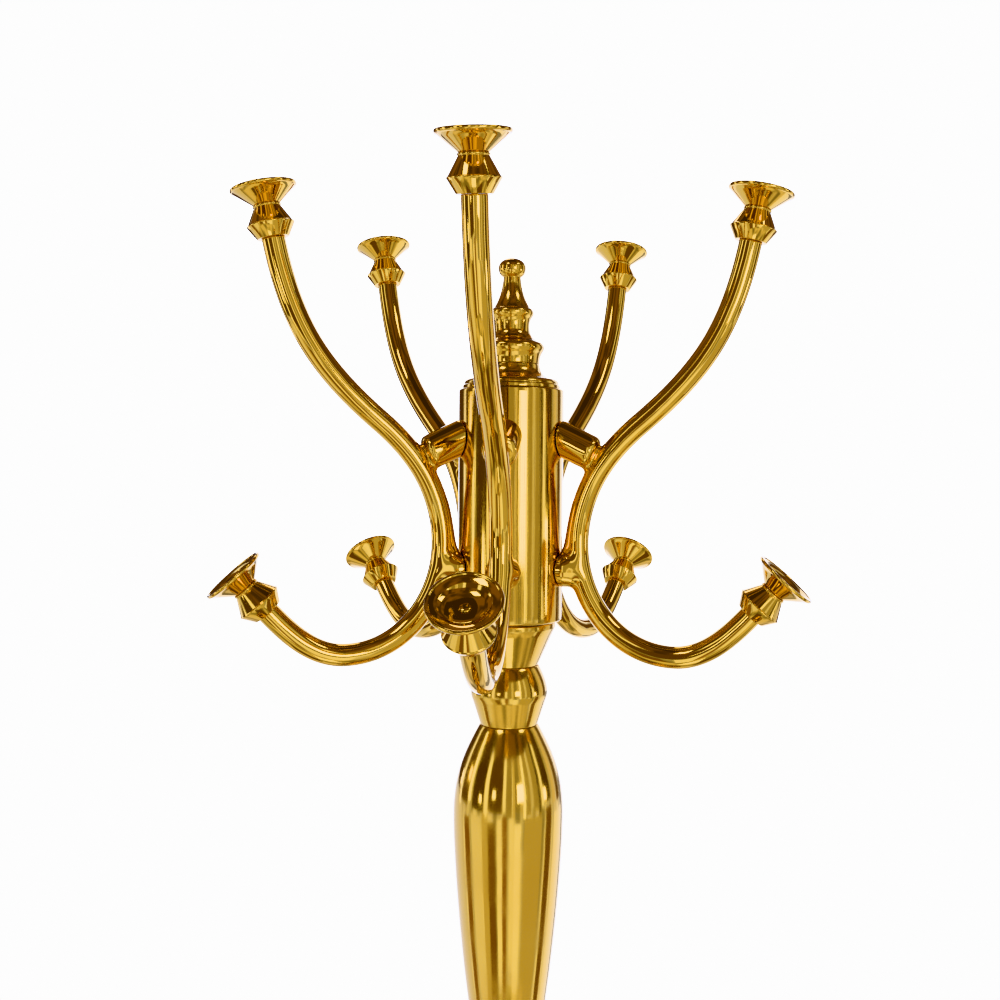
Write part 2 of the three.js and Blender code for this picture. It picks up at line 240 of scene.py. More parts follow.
class Nodes:
    """A short way to write a material's node tree."""

    def __init__(self, name, own_place=False):
        self.material = bpy.data.materials.new(name)
        self.material.use_nodes = True
        self.tree = self.material.node_tree
        self.shader = self.tree.nodes["Principled BSDF"]
        if own_place:
            self.place = self.add("ShaderNodeAttribute", attribute_name=OWN_PLACE).outputs["Vector"]
        else:
            self.place = self.add("ShaderNodeTexCoord").outputs["Object"]

    def add(self, kind, **settings):
        node = self.tree.nodes.new(kind)
        for key, value in settings.items():
            setattr(node, key, value)
        return node

    def put(self, value, socket):
        if hasattr(value, "is_output"):
            self.tree.links.new(value, socket)
        else:
            socket.default_value = value

    def stretched(self, scale):
        mapping = self.add("ShaderNodeMapping")
        mapping.inputs["Scale"].default_value = scale
        self.put(self.place, mapping.inputs["Vector"])
        return mapping.outputs["Vector"]

    def rings(self):
        """A coordinate that changes with radius and height only, for the marks of a lathe."""
        parts = self.add("ShaderNodeSeparateXYZ")
        self.put(self.place, parts.inputs[0])
        flat = self.add("ShaderNodeCombineXYZ")
        self.put(parts.outputs["X"], flat.inputs["X"])
        self.put(parts.outputs["Y"], flat.inputs["Y"])
        radius = self.add("ShaderNodeVectorMath", operation="LENGTH")
        self.put(flat.outputs[0], radius.inputs[0])
        ring = self.add("ShaderNodeCombineXYZ")
        self.put(radius.outputs["Value"], ring.inputs["X"])
        self.put(parts.outputs["Z"], ring.inputs["Z"])
        return ring.outputs[0]

    def noise(self, vector, scale, detail=2.0):
        noise = self.add("ShaderNodeTexNoise")
        self.put(vector, noise.inputs["Vector"])
        noise.inputs["Scale"].default_value = scale
        noise.inputs["Detail"].default_value = detail
        return noise.outputs["Fac"]

    def ramp(self, value, low, high, start=0.35, end=0.65):
        spread = self.add("ShaderNodeMapRange")
        self.put(value, spread.inputs["Value"])
        spread.inputs["From Min"].default_value = start
        spread.inputs["From Max"].default_value = end
        spread.inputs["To Min"].default_value = low
        spread.inputs["To Max"].default_value = high
        return spread.outputs["Result"]

    def colour(self, value, low, high):
        mix = self.add("ShaderNodeMix", data_type="RGBA")
        self.put(value, mix.inputs["Factor"])
        mix.inputs["A"].default_value = (*low, 1)
        mix.inputs["B"].default_value = (*high, 1)
        return mix.outputs["Result"]

    def bump(self, height, strength, distance, under=None):
        bump = self.add("ShaderNodeBump")
        bump.inputs["Strength"].default_value = strength
        bump.inputs["Distance"].default_value = distance
        self.put(height, bump.inputs["Height"])
        if under is not None:
            self.put(under, bump.inputs["Normal"])
        return bump.outputs["Normal"]


GOLD = (0.73, 0.447, 0.07)
GOLD_DEEP = (0.67, 0.37, 0.046)
COAT_WEIGHT = 0.3
COAT_IOR = 1.6
COAT_ROUGHNESS = 0.03


def gold(name, roughness, wave, wave_scale, lathed=True, grain_depth=0.00002):
    """Polished gold plating under a clear lacquer.

    Under the plating lie a slight wave and either the rings of a lathe or brush lines that run up the
    piece. Their depths are in metres.
    """
    n = Nodes(name, own_place=True)
    n.shader.inputs["Metallic"].default_value = 1.0
    n.shader.inputs["Coat Weight"].default_value = COAT_WEIGHT
    n.shader.inputs["Coat IOR"].default_value = COAT_IOR
    n.shader.inputs["Coat Roughness"].default_value = COAT_ROUGHNESS
    n.put(n.colour(n.noise(n.place, 14.0), GOLD_DEEP, GOLD), n.shader.inputs["Base Color"])
    worn = n.ramp(n.noise(n.place, 45.0, 5.0), roughness * 0.7, roughness * 1.5)
    n.put(worn, n.shader.inputs["Roughness"])
    if lathed:
        grain = n.noise(n.rings(), 1800.0, 3.0)
    else:
        grain = n.noise(n.stretched((1.0, 1.0, 0.012)), 700.0, 3.0)
    normal = n.bump(grain, 0.35, grain_depth)
    normal = n.bump(n.noise(n.place, wave_scale, 1.0), 1.0, wave, normal)
    n.put(normal, n.shader.inputs["Normal"])
    return n.material


def steel(name):
    n = Nodes(name)
    n.shader.inputs["Metallic"].default_value = 1.0
    plating = n.colour(n.noise(n.place, 60.0), (0.38, 0.38, 0.37), (0.56, 0.56, 0.55))
    n.put(plating, n.shader.inputs["Base Color"])
    n.put(n.ramp(n.noise(n.place, 220.0, 4.0), 0.22, 0.48), n.shader.inputs["Roughness"])
    n.put(n.bump(n.noise(n.rings(), 2400.0), 0.4, 0.00004), n.shader.inputs["Normal"])
    return n.material


def iron(name):
    n = Nodes(name)
    n.shader.inputs["Metallic"].default_value = 0.4
    scale = n.colour(n.noise(n.place, 90.0, 6.0), (0.03, 0.03, 0.032), (0.075, 0.068, 0.06))
    n.put(scale, n.shader.inputs["Base Color"])
    n.put(n.ramp(n.noise(n.place, 120.0, 4.0), 0.65, 0.92), n.shader.inputs["Roughness"])
    n.put(n.bump(n.noise(n.place, 500.0, 6.0), 0.6, 0.0004), n.shader.inputs["Normal"])
    return n.material


def nylon(name):
    n = Nodes(name)
    black = n.colour(n.noise(n.place, 120.0), (0.008, 0.008, 0.009), (0.02, 0.02, 0.022))
    n.put(black, n.shader.inputs["Base Color"])
    n.put(n.ramp(n.noise(n.place, 300.0, 3.0), 0.38, 0.6), n.shader.inputs["Roughness"])
    n.put(n.bump(n.noise(n.rings(), 1500.0), 0.3, 0.00003), n.shader.inputs["Normal"])
    return n.material


def felt(name):
    n = Nodes(name)
    fibres = n.colour(n.noise(n.place, 700.0, 6.0), (0.008, 0.014, 0.010), (0.022, 0.034, 0.026))
    n.put(fibres, n.shader.inputs["Base Color"])
    n.put(n.ramp(n.noise(n.place, 200.0), 0.88, 1.0), n.shader.inputs["Roughness"])
    n.shader.inputs["Sheen Weight"].default_value = 0.5
    n.put(n.bump(n.noise(n.place, 1600.0, 6.0), 0.8, 0.0006), n.shader.inputs["Normal"])
    return n.material


SPUN_GOLD = gold("gold_spun", roughness=0.12, wave=0.0003, wave_scale=32.0)
TUBE_GOLD = gold(
    "gold_tube", roughness=0.08, wave=0.0002, wave_scale=24.0, lathed=False, grain_depth=0.0002
)
CAST_GOLD = gold("gold_cast", roughness=0.05, wave=0.00035, wave_scale=50.0, grain_depth=0.000008)
DISH_GOLD = gold("gold_dish", roughness=0.05, wave=0.00006, wave_scale=60.0)
STEEL = steel("steel_plated")
IRON = iron("iron_raw")
NYLON = nylon("nylon_black")
FELT = felt("felt_dark")


# ---- Foot and column ----


def make_foot():
    cover = (
        Outline(FOOT_R, 1.5)
        .line(FOOT_R, 7)
        .curve((FOOT_R, 13.5), (109, 14.5))
        .line(101, 16)
        .curve((96, 17), (95.5, 21))
        .curve((95, 26), (88, 26.5))
        .curve((60, 31), (24, 48), (19.5, FOOT_TOP_Z))
        .line(CLAMPED_BORE_R, FOOT_TOP_Z)
        .line(CLAMPED_BORE_R, FOOT_TOP_Z - 3)
        .line(16.8, FOOT_TOP_Z - 3)
        .curve((22, 49), (57, 29), (88, 24))
        .curve((92.5, 23.5), (93, 19))
        .curve((94, 14.5), (101, 13.6))
        .line(108, 12.2)
        .curve((FOOT_R - 2, 11), (FOOT_R - 2, 6))
        .line(FOOT_R - 2, 1.5)
        .close()
    )
    mesh = lathe("foot_cover", cover, soft=0.4, sides=160, closed=True)
    place("foot_cover", mesh, SPUN_GOLD, "column", ["base_cover"])


def bored(outline, bore, top, bottom):
    """Closes an outline round a bore."""
    return outline.line(bore, top).line(bore, bottom).close()


def make_column():
    ring = (
        Outline(19.5, FOOT_TOP_Z + GAP)
        .curve((25, FOOT_TOP_Z + GAP), (25, FOOT_TOP_Z + 4))
        .curve((25, COLLAR_TOP_Z - GAP), (19.5, COLLAR_TOP_Z - GAP))
    )
    bored(ring, CLAMPED_BORE_R, COLLAR_TOP_Z - GAP, FOOT_TOP_Z + GAP)
    mesh = lathe("foot_ring", ring, closed=True)
    place("foot_ring", mesh, SPUN_GOLD, "column", ["base_ring"])

    knop = (
        Outline(19, COLLAR_TOP_Z)
        .line(26.4, COLLAR_TOP_Z + 19)
        .curve((27.6, COLLAR_TOP_Z + 25), (25, COLLAR_TOP_Z + 33), (19.5, VASE_BOTTOM_Z - GAP))
    )
    bored(knop, CLAMPED_BORE_R, VASE_BOTTOM_Z - GAP, COLLAR_TOP_Z)
    mesh = lathe("lower_knop", knop, soft=0.8, closed=True)
    place("lower_knop", mesh, SPUN_GOLD, "column", ["base_knop"])

    vase = (
        Outline(CLAMPED_BORE_R, VASE_BOTTOM_Z)
        .line(19.8, VASE_BOTTOM_Z)
        .curve((31, 198), (BELLY_R, 300), (BELLY_R, BELLY_Z))
        .curve((BELLY_R, 371.5), (31, 388.6), (NECK_R, VASE_TOP_Z))
        .line(CLAMPED_BORE_R, VASE_TOP_Z)
        .line(CLAMPED_BORE_R, VASE_TOP_Z - 5)
        .line(NECK_R - 1, VASE_TOP_Z - 5)
        .curve((29.4, 384.6), (BELLY_R - 3, 367.5), (BELLY_R - 3, BELLY_Z))
        .curve((BELLY_R - 3, 300), (28, 198), (17.6, VASE_BOTTOM_Z + 6))
        .line(CLAMPED_BORE_R, VASE_BOTTOM_Z + 6)
        .close()
    )
    mesh = lathe("vase", vase, sides=128, closed=True)
    place("vase", mesh, SPUN_GOLD, "column", ["baluster_vase"])

    knop = (
        Outline(NECK_R, VASE_TOP_Z + GAP)
        .line(KNOP_R - 0.4, 427)
        .curve((KNOP_R + 0.8, 433), (26.4, 441.5), (NECK_R, KNOP_TOP_Z))
    )
    bored(knop, CLAMPED_BORE_R, KNOP_TOP_Z, VASE_TOP_Z + GAP)
    mesh = lathe("upper_knop", knop, soft=0.7, closed=True)
    place("upper_knop", mesh, SPUN_GOLD, "column", ["neck_knop"])

    seat = (
        Outline(NECK_R, KNOP_TOP_Z + GAP)
        .line(SEAT_R - 0.5, SEAT_TOP_Z - 5)
        .line(SEAT_R, SEAT_TOP_Z - 4)
        .line(SEAT_R, SEAT_TOP_Z - 0.8)
        .line(SEAT_R - 0.8, SEAT_TOP_Z)
    )
    bored(seat, CLAMPED_BORE_R, SEAT_TOP_Z, KNOP_TOP_Z + GAP)
    mesh = lathe("seat_cone", seat, soft=0.4, closed=True)
    place("seat_cone", mesh, SPUN_GOLD, "column", ["hub_seat"])


# ---- Hub ----


def make_hub():
    inside = HUB_R - HUB_WALL
    tube = (
        Outline(RUNNING_BORE_R, HUB_BOTTOM_Z)
        .line(HUB_R - 1, HUB_BOTTOM_Z)
        .line(HUB_R, HUB_BOTTOM_Z + 1)
        .line(HUB_R, HUB_TOP_Z - 1)
        .line(HUB_R - 1, HUB_TOP_Z)
        .line(inside, HUB_TOP_Z)
        .line(inside, HUB_FLOOR_Z)
        .line(RUNNING_BORE_R, HUB_FLOOR_Z)
        .close()
    )
    mesh = lathe("hub_tube", tube, soft=0.5, sides=160, closed=True)
    place("hub_tube", mesh, TUBE_GOLD, "head", ["hub_sleeve"])

    cap = (
        Outline(RUNNING_BORE_R, 632)
        .line(12, 632)
        .line(12, 641)
        .line(inside - 0.5, 641)
        .line(inside - 0.5, HUB_TOP_Z + GAP)
        .line(CAP_R, HUB_TOP_Z + GAP)
        .line(CAP_R, 652.6)
        .line(CAP_R - 0.8, 653.2)
        .curve((CAP_R - 0.9, 656.4), (31.5, 657.1))
        .line(28, 657.4)
        .curve((24, 659), (21, 662), (CAP_TOP_R, CAP_TOP_Z))
        .line(STUD_R + GAP, CAP_TOP_Z)
        .line(STUD_R + GAP, ROD_TOP_Z + 1)
        .line(RUNNING_BORE_R, ROD_TOP_Z + 1)
        .close()
    )
    mesh = lathe("cap", cap, soft=0.4, sides=128, closed=True)
    place("cap", mesh, SPUN_GOLD, "head", ["hub_cap"])

    finial = (
        Outline(0, ROD_TOP_Z + 8)
        .line(STUD_R, ROD_TOP_Z + 8)
        .line(STUD_R, CAP_TOP_Z + GAP)
        .line(CAP_TOP_R, CAP_TOP_Z + GAP)
        .curve((20.4, 674), (22.6, 677))
        .curve((24.9, 680.2), (22.4, 683))
        .line(20.4, 684.2)
        .curve((15.5, 686), (13, 690), (12.9, 694.4))
        .curve((12.8, 698.5), (13.4, 700.5), (15, 702.4))
        .curve((17, 705.4), (14.6, 708))
        .line(13.7, 708.3)
        .curve((9.5, 714), (7, 722), (6.3, 731))
        .curve((10, 732.8), (10, 737.7))
        .curve((10, 741.6), (6, 744.7), (0, 744.7))
    )
    mesh = lathe("finial_turned", finial, soft=0.45)
    place("finial_turned", mesh, SPUN_GOLD, "head", ["finial"])


# ---- Brackets ----


def arm_end(level):
    """The centre of an arm's end under its collar, and the direction in which it points."""
    r, z, lean = DISHES[level]
    out = np.array([math.sin(math.radians(lean)), math.cos(math.radians(lean))])
    return np.array([r, z]) - (COLLAR_BOTTOM_DEPTH + ARM_GAP) * out, out


def arm_centre_line():
    """Points along the arm, from the upper dish down past the hub to the lower dish, as (r, z)."""
    upper, _ = arm_end("upper")
    lower, _ = arm_end("lower")
    stations = [
        (*upper, -DISHES["upper"][2]),
        (148.3, 686, -27.8),
        (95, 624.8, -50),
        (58, 577, -22),
        (50.5, 539, 0),
        (120, 461.7, 90),
        (*lower, 180 - DISHES["lower"][2]),
    ]
    line = []
    for (r0, z0, lean0), (r1, z1, lean1) in zip(stations, stations[1:]):
        a, b = math.radians(lean0), math.radians(lean1)
        handle = math.hypot(r1 - r0, z1 - z0) / (3 * math.cos((b - a) / 4) ** 2)
        p0 = np.array([r0, z0])
        p3 = np.array([r1, z1])
        p1 = p0 + handle * np.array([math.sin(a), -math.cos(a)])
        p2 = p3 - handle * np.array([math.sin(b), -math.cos(b)])
        t = np.linspace(0, 1, 60, endpoint=False)[:, None]
        line.append((1 - t) ** 3 * p0 + 3 * (1 - t) ** 2 * t * p1 + 3 * (1 - t) * t**2 * p2 + t**3 * p3)
    line.append(np.array([lower]))
    return np.concatenate(line)


BATCH = 20000
BRACKET_REACH = 184.0  # the box that holds a bracket
BRACKET_BOTTOM_Z = 450.0
BRACKET_TOP_Z = 752.0
CELL = 1.0  # size of the meshing grid
SLOPE_STEP = 0.02
PULLS = 2  # how often the meshed points are pulled onto the surface


def blend(a, b, width):
    """Joins two distances with a fillet about as wide as width."""
    overlap = np.maximum(width - np.abs(a - b), 0) / width
    return np.minimum(a, b) - overlap**2 * width / 4


def trim(a, b, width):
    """Keeps what lies in both, with a softened edge between them."""
    return -blend(-a, -b, width)


class BracketShape:
    """Distance to one bracket, which lies in the plane y = 0."""

    def __init__(self):
        line = arm_centre_line()
        self.start, self.step = line[:-1], line[1:] - line[:-1]
        self.length2 = (self.step**2).sum(1)

    def from_arm(self, r, z):
        """Distance to the arm's centre line, a batch of points at a time to spare memory."""
        best = np.empty(len(r))
        for first in range(0, len(r), BATCH):
            part = slice(first, first + BATCH)
            dr = r[part, None] - self.start[None, :, 0]
            dz = z[part, None] - self.start[None, :, 1]
            t = np.clip((dr * self.step[:, 0] + dz * self.step[:, 1]) / self.length2, 0, 1)
            best[part] = np.sqrt(((dr - t * self.step[:, 0]) ** 2 + (dz - t * self.step[:, 1]) ** 2).min(1))
        return best

    def rod(self, r, y, z, start, end, radius, edge=None):
        """Distance to a round bar in the plane, with ball ends or, given an edge, softened flat ends."""
        start, end = np.array(start, float), np.array(end, float)
        length = np.linalg.norm(end - start)
        along = (end - start) / length
        s = (r - start[0]) * along[0] + (z - start[1]) * along[1]
        side = -(r - start[0]) * along[1] + (z - start[1]) * along[0]
        if edge is not None:
            return trim(np.hypot(side, y) - radius, np.abs(s - length / 2) - length / 2, edge)
        return np.sqrt(side**2 + y**2 + (s - np.clip(s, 0, length)) ** 2) - radius

    def distance(self, r, y, z, arm=None):
        """Distance to the whole bracket, less than 0 inside it."""
        arm = self.from_arm(r, z) if arm is None else arm
        fall = math.radians(UPPER_STUB_FALL)
        reach, drop = UPPER_STUB_LENGTH * math.cos(fall), UPPER_STUB_LENGTH * math.sin(fall)
        upper_end = (HUB_R + reach, UPPER_STUB_Z - drop)
        upper_start = (HUB_R - STUB_ROOT, UPPER_STUB_Z + STUB_ROOT * math.tan(fall))
        shape = np.hypot(arm, y) - ARM_R
        upper = self.rod(r, y, z, upper_start, upper_end, STUB_R, edge=UPPER_STUB_EDGE)
        shape = blend(shape, upper, UPPER_STUB_FILLET)
        lower = self.rod(r, y, z, (HUB_R - STUB_ROOT, LOWER_STUB_Z), LOWER_STUB_END, STUB_R)
        shape = blend(shape, lower, LOWER_STUB_FILLET)
        shape = blend(shape, self.rod(r, y, z, WEB_BOTTOM, WEB_TOP, WEB_R), WEB_FILLET)
        shape = trim(shape, HUB_R + STUB_GAP - np.hypot(r, y), HUB_EDGE)
        for level in DISHES:  # cuts each arm end square, and only there
            centre, out = arm_end(level)
            past = (r - centre[0]) * out[0] + (z - centre[1]) * out[1]
            near = (z > 700) if level == "upper" else (z < 560) & (r > 130)
            shape = np.where(near, trim(shape, past, ARM_END_EDGE), shape)
        return shape


def bracket_mesh():
    """Meshes the bracket's distance field, then pulls the points onto its surface and takes its normals."""
    shape = BracketShape()
    cell = CELL
    low = np.array([HUB_R - 4, -STUB_R - 3, BRACKET_BOTTOM_Z])
    high = np.array([BRACKET_REACH, STUB_R + 3, BRACKET_TOP_Z])
    counts = np.ceil((high - low) / cell).astype(int)
    r, y, z = (low[k] + cell * np.arange(counts[k]) for k in range(3))
    plane_r, plane_z = (g.ravel() for g in np.meshgrid(r, z, indexing="ij"))
    arm = shape.from_arm(plane_r, plane_z)
    field = np.empty(counts, np.float32)
    for j, level in enumerate(y):
        row = shape.distance(plane_r, np.full(len(plane_r), level), plane_z, arm)
        field[:, j, :] = row.reshape(counts[0], counts[2])
    grid = openvdb.FloatGrid(10.0)
    grid.copyFromArray(np.clip(field / cell, -3, 3))
    points, triangles, quads = grid.convertToPolygons(0.0, 0.0)
    points = np.asarray(points, float) * cell + low

    def slopes(p):
        sides = []
        for k in range(3):
            offset = np.zeros(3)
            offset[k] = SLOPE_STEP
            ahead, behind = p + offset, p - offset
            sides.append((shape.distance(*ahead.T) - shape.distance(*behind.T)) / (2 * SLOPE_STEP))
        return np.stack(sides, 1)

    for _ in range(PULLS):
        slope = slopes(points)
        error = shape.distance(*points.T)
        points -= slope * (error / np.maximum((slope**2).sum(1), 0.2))[:, None]
    normals = slopes(points)
    normals /= np.linalg.norm(normals, axis=1, keepdims=True)
    faces = [tuple(map(int, f)) for f in list(quads) + list(triangles)]
    a, b, c = (points[[f[k] for f in faces]] for k in range(3))
    facing = (np.cross(b - a, c - a) * normals[[f[0] for f in faces]]).sum()
    if facing < 0:
        faces = [f[::-1] for f in faces]
    return make_mesh("bracket", points, faces, normals)


# ---- Dishes ----


def dish_meshes():
    """The dish, its collar and its screw, with the middle of the dish's rim at the origin."""
    bore = DISH_SCREW_R + SCREW_PLAY
    dish = (
        Outline(bore, -DISH_DEPTH)
        .line(DISH_NECK_R, -DISH_DEPTH)
        .line(RIM_R - 1.6, -2.7)
        .line(RIM_R - 0.9, -2.5)
        .curve((RIM_R + 0.1, -2.2), (RIM_R + 0.1, 0), (RIM_R - 1.1, 0))
        .curve((RIM_R - 2.0, 0), (RIM_R - 2.3, -0.7))
        .curve((18.2, -1.1), (15.5, -2.3))
        .curve((11.5, -BOWL_DEPTH), (4.5, -BOWL_DEPTH))
        .line(bore, -BOWL_DEPTH)
        .close()
    )
    collar_top = -DISH_DEPTH - 0.1
    collar = (
        Outline(COLLAR_BOTTOM_R, -COLLAR_BOTTOM_DEPTH)
        .line(COLLAR_R, -COLLAR_CREASE_DEPTH)
        .line(COLLAR_R, -COLLAR_CREASE_DEPTH + 0.6)
        .line(COLLAR_R - 0.6, -COLLAR_CREASE_DEPTH + 0.9)
        .line(DISH_NECK_R + 0.3, collar_top - 1.5)
        .line(DISH_NECK_R + 0.8, collar_top - 1.2)
        .curve((DISH_NECK_R + 1.0, collar_top), (DISH_NECK_R, collar_top))
    )
    bored(collar, bore, collar_top, -COLLAR_BOTTOM_DEPTH)
    head = -BOWL_DEPTH + GAP
    screw = (
        Outline(0, -DISH_SCREW_DEPTH)
        .line(DISH_SCREW_R, -DISH_SCREW_DEPTH)
        .line(DISH_SCREW_R, head)
        .line(DISH_SCREW_HEAD_R, head)
        .curve((3.0, head + 1.1), (0, head + 1.1))
    )
    return {
        "dish": lathe("dish", dish, soft=0.3, closed=True),
        "collar": lathe("collar", collar, soft=0.35, closed=True),
        "dish_screw": lathe("dish_screw", screw, soft=0.25, sides=48),
    }


def make_arms():
    cast = bracket_mesh()
    turned = dish_meshes()
    for number, azimuth in enumerate(AZIMUTHS, 1):
        round_hub = Matrix.Rotation(math.radians(azimuth), 4, "Z")
        place(f"cast_bracket_{number}", cast, CAST_GOLD, "head", [f"bracket_{number}"], at=round_hub)
        for level, (r, z, lean) in DISHES.items():
            rim = Matrix.Translation((r * MM, 0, z * MM))
            at = round_hub @ rim @ Matrix.Rotation(math.radians(lean), 4, "Y")
            for kind, mesh in turned.items():
                label = f"{level}_{number}"
                place(f"turned_{kind}_{label}", mesh, DISH_GOLD, "head", [f"{kind}_{label}"], at=at)


def finish_carried_nodes():
    """Gives the CAD nodes that stay in the picture their own materials."""
    finishes = {
        "base_pad": (FELT, "felt"),
        "base_weight": (IRON, "iron"),
        "bearing_washer": (NYLON, "nylon"),
        "base_nut": (STEEL, "steel"),
        "hub_nut": (STEEL, "steel"),
        "centre_rod": (STEEL, "steel"),
    }
    for level in DISHES:
        for number in range(1, len(AZIMUTHS) + 1):
            finishes[f"bracket_screw_{level}_{number}"] = (STEEL, "steel")
    for name, (material, slot) in finishes.items():
        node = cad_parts[name]
        node.data.materials.clear()
        node.data.materials.append(material)


# ---- Stage ----

FLOOR_R = 40  # metres, as is all of the studio
STUDIO_R = 2.4
STUDIO_TOP = 3.0
STUDIO_EAVES = 2.0  # where the lit wall ends and a dark valance starts
STUDIO_BOTTOM = -1.9  # the polish sees the studio as if the candelabra stood high in it
HORIZON = -0.12  # where the dim upper cards stand on the glowing lower ones
UNEVEN = 0.12  # how far the cards' ends stray from the horizon
WHITE = 4.0  # brightness that the picture shows as white
TABLE_BRIGHTNESS = 0.8
WALL_BRIGHTNESS = 1.12
CEILING_BRIGHTNESS = 0.2
SHADE = (1.0, 0.60, 0.42)  # the warm tint of what is darker than DIM
LAMP = (0.90, 1.0, 1.30)  # the cool tint of what is brighter than LIT, except the white floor
DIM = 0.4
LIT = 1
CONTACT_REACH = 0.22  # how far the soft shade round the foot spreads on the floor, in metres
CONTACT_DEPTH = 3.5
# Tall cards round the object: direction in degrees from behind the camera, width in degrees, brightness
LOWER_CARDS = [
    (-170, 22, 1.9),
    (-132, 44, 1.1),
    (-94, 14, 0.30),
    (-70, 24, 1.25),
    (-49, 14, 0.8),
    (-34, 16, 0.24),
    (-18, 9, 1.6),
    (-7, 9, 0.36),
    (20, 13, 1.7),
    (54, 40, 0.72),
    (92, 16, 0.22),
    (126, 30, 1.7),
    (165, 30, 1.9),
]
UPPER_CARDS = [
    (-170, 20, 1.9),
    (-140, 28, 0.10),
    (-119, 5, 2.2),
    (-104, 22, 0.14),
    (-88, 6, 3.0),
    (-66, 28, 0.10),
    (-47, 5, 2.0),
    (-27, 30, 0.14),
    (-8, 5, 1.8),
    (2, 12, 0.50),
    (12, 5, 0.9),
    (19, 8, 0.42),
    (27, 5, 0.8),
    (34, 5, 2.2),
    (43, 9, 0.55),
    (52, 4, 1.1),
    (60, 12, 0.55),
    (69, 5, 0.08),
    (77, 6, 1.8),
    (91, 18, 0.10),
    (112, 12, 1.0),
    (128, 12, 0.16),
    (160, 40, 2.0),
]
# Small lamps before the upper cards: direction in degrees, height, size and brightness
SPOTS = [
    (-125, 0.25, 0.22, 5.0),
    (-98, 0.65, 0.30, 4.0),
    (-60, 0.30, 0.22, 5.0),
    (-30, 0.55, 0.26, 4.5),
    (26, 0.60, 0.55, 6.0),
    (84, 0.30, 0.30, 6.0),
]
# Level cards over and under the object: middle, side and brightness
FLAT_CARDS = [
    (-1.4, -1.5, 2.8, 0.8, 5.5),
    (2.1, -1.0, 2.8, 0.9, 5.0),
    (-0.3, 2.1, 2.8, 0.9, 4.0),
    (0.0, 0.0, 2.9, 1.6, 0.05),
    (0.0, -1.2, -1.7, 0.7, 2.4),
    (0.9, -0.3, -1.6, 0.9, 0.16),
    (-0.9, -0.2, -1.6, 0.8, 0.16),
]


def tint(brightness):
    if brightness < DIM:
        return SHADE
    if brightness > LIT and brightness != WHITE:
        return LAMP
    return (1, 1, 1)


def glowing(name, brightness, folds=None):
    """A matt surface that gives light, evenly or, where folds gives the spacing, as a draped cloth does."""
    n = Nodes(name)
    n.shader.inputs["Base Color"].default_value = (0, 0, 0, 1)
    n.shader.inputs["Specular IOR Level"].default_value = 0
    n.shader.inputs["Emission Color"].default_value = (*tint(brightness), 1)
    if folds is None:
        n.shader.inputs["Emission Strength"].default_value = brightness
    else:
        cloth = n.noise(n.stretched(folds), 1.0, 1.0)
        light = n.ramp(cloth, brightness * 0.4, brightness * 1.3, start=0.4, end=0.6)
        n.put(light, n.shader.inputs["Emission Strength"])
    return n.material


def stage_mesh(name, points, faces, brightness, seen, folds=None):
    """A piece of the studio. What the camera doesn't see lights the object and shows in its polish."""
    mesh = bpy.data.meshes.new(name)
    mesh.from_pydata(points, [], faces)
    mesh.materials.append(glowing(name, brightness, folds))
    piece = bpy.data.objects.new(name, mesh)
    bpy.context.scene.collection.objects.link(piece)
    piece.visible_camera = seen
    piece.visible_glossy = not seen
    piece.visible_shadow = False
    return piece


def disc(radius, z, sides=SIDES):
    """The points and the one face of a level disc."""
    turns = [2 * math.pi * i / sides for i in range(sides)]
    return [(radius * math.cos(t), radius * math.sin(t), z) for t in turns], [tuple(range(sides))]


def standing_card(name, direction, wide, ends, brightness, distance=STUDIO_R):
    """An upright card between two heights that faces the object from the direction given."""
    bottom, top = ends
    corners = [(-wide / 2, 0, bottom), (wide / 2, 0, bottom), (wide / 2, 0, top), (-wide / 2, 0, top)]
    card = stage_mesh(name, corners, [(0, 1, 2, 3)], brightness, seen=False)
    turn = math.radians(direction)
    card.location = (distance * math.sin(turn), -distance * math.cos(turn), 0)
    card.rotation_euler = (0, 0, turn)


def make_world():
    world = bpy.data.worlds.new("studio")
    bpy.context.scene.world = world
    world.use_nodes = True
    background = world.node_tree.nodes["Background"]
    background.inputs["Color"].default_value = (1, 1, 1, 1)
    background.inputs["Strength"].default_value = WHITE


def make_floor():
    """A white floor with a soft shade where the foot stands."""
    floor = stage_mesh("floor", *disc(FLOOR_R, 0), WHITE, seen=True)
    tree = floor.data.materials[0].node_tree
    shade = tree.nodes.new("ShaderNodeAmbientOcclusion")
    shade.inputs["Distance"].default_value = CONTACT_REACH
    contact = tree.nodes.new("ShaderNodeMath")
    contact.operation = "POWER"
    contact.inputs[1].default_value = CONTACT_DEPTH
    tree.links.new(shade.outputs["AO"], contact.inputs[0])
    tree.links.new(contact.outputs[0], tree.nodes["Principled BSDF"].inputs["Emission Color"])


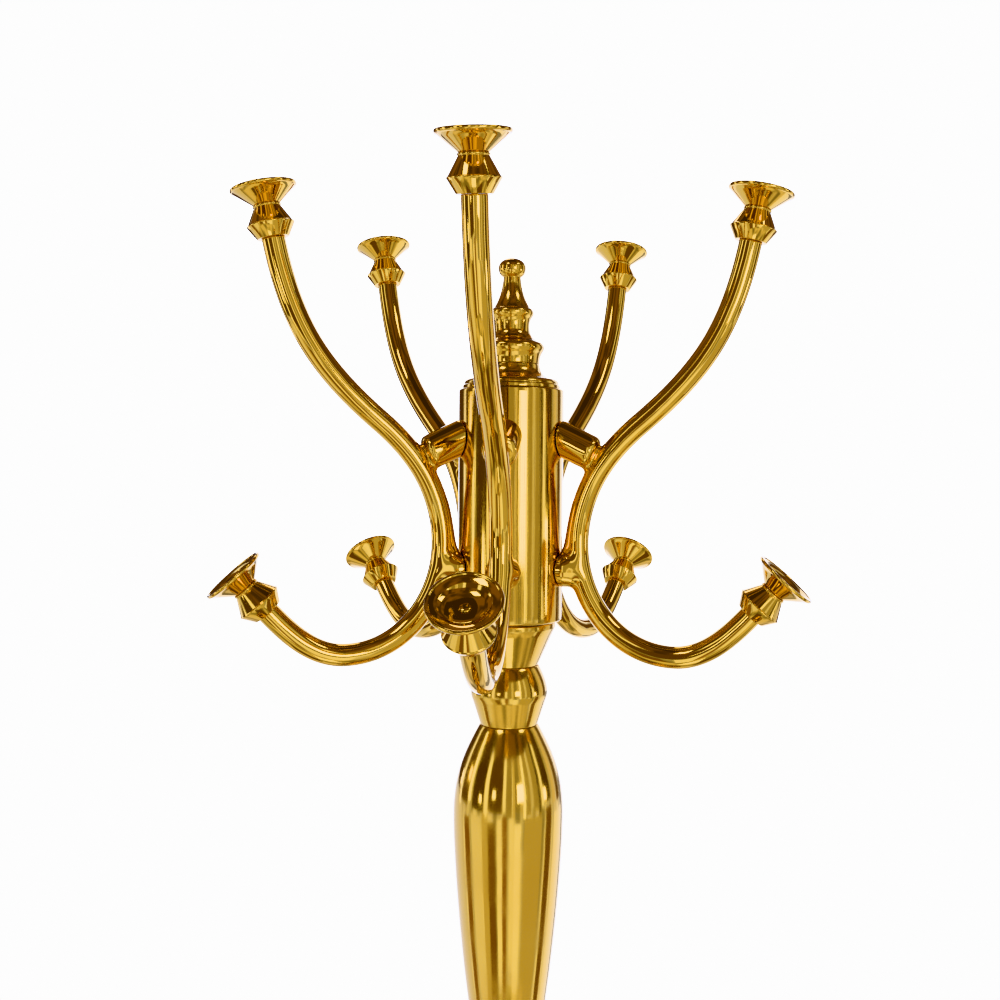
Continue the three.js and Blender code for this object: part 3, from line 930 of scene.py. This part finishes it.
def make_tent():
    """The round tent that the polish reflects: a lit table and wall under a dark valance and ceiling."""
    table = disc(STUDIO_R + 0.3, STUDIO_BOTTOM)
    ceiling = disc(STUDIO_R + 0.3, STUDIO_TOP)
    stage_mesh("studio_table", *table, TABLE_BRIGHTNESS, seen=False, folds=(1.1, 1.1, 1))
    stage_mesh("studio_ceiling", *ceiling, CEILING_BRIGHTNESS, seen=False, folds=(1.1, 1.1, 1))
    walls = [(i, (i + 1) % SIDES, SIDES + (i + 1) % SIDES, SIDES + i) for i in range(SIDES)]
    levels = (STUDIO_BOTTOM - 0.01, STUDIO_EAVES, STUDIO_TOP)
    bottom, eaves, top = (disc(STUDIO_R + 0.2, z)[0] for z in levels)
    stage_mesh("studio_wall", bottom + eaves, walls, WALL_BRIGHTNESS, seen=False, folds=(1.5, 1.5, 0.15))
    stage_mesh("studio_valance", eaves + top, walls, CEILING_BRIGHTNESS, seen=False, folds=(1.5, 1.5, 0.3))


def card_width(angle):
    return 2 * STUDIO_R * math.tan(math.radians(angle / 2))


def make_cards():
    """The cards and lamps. Their uneven ends keep the horizon in the polish from being a ruled line."""
    for number, (direction, width, brightness) in enumerate(LOWER_CARDS):
        top = HORIZON - 0.05 + UNEVEN * math.sin(2.1 * number)
        ends = (STUDIO_BOTTOM + 0.1, top)
        standing_card(f"studio_low_{number}", direction, card_width(width), ends, brightness)
    for number, (direction, width, brightness) in enumerate(UPPER_CARDS):
        bottom = HORIZON + 0.08 + UNEVEN * math.sin(1.7 * number + 1)
        ends = (bottom, STUDIO_EAVES - 0.1)
        standing_card(f"studio_high_{number}", direction, card_width(width), ends, brightness)
    for number, (direction, z, size, brightness) in enumerate(SPOTS):
        ends = (z - size / 2, z + size / 2)
        standing_card(f"studio_lamp_{number}", direction, size, ends, brightness, STUDIO_R - 0.1)
    for number, (x, y, z, size, brightness) in enumerate(FLAT_CARDS):
        half = size / 2
        corners = [(-half, -half, 0), (half, -half, 0), (half, half, 0), (-half, half, 0)]
        card = stage_mesh(f"studio_flat_{number}", corners, [(0, 1, 2, 3)], brightness, seen=False)
        card.location = (x, y, z)


# ---- Camera ----

CAMERA_PLACE = (4.5, -770.9, 591.9)
CAMERA_FALL = 1.544  # degrees below the horizon
CAMERA_ROLL = 0.437  # degrees round its own line of sight
LENS = 38.13
SENSOR_WIDTH = 36
SHIFT = (-0.0167, -0.0017)


def make_camera():
    data = bpy.data.cameras.new("photo_view")
    camera = bpy.data.objects.new("photo_view", data)
    bpy.context.scene.collection.objects.link(camera)
    bpy.context.scene.camera = camera
    pitch = Matrix.Rotation(math.radians(90 - CAMERA_FALL), 4, "X")
    roll = Matrix.Rotation(math.radians(CAMERA_ROLL), 4, "Z")
    camera.matrix_world = Matrix.Translation(Vector(CAMERA_PLACE) * MM) @ pitch @ roll
    data.sensor_width = SENSOR_WIDTH
    data.lens = LENS
    data.shift_x, data.shift_y = SHIFT
    data.clip_start = 0.01
    data.clip_end = 100


make_foot()
make_column()
make_hub()
make_arms()
finish_carried_nodes()
make_world()
make_floor()
make_tent()
make_cards()
make_camera()
bpy.context.scene.view_settings.view_transform = "Khronos PBR Neutral"
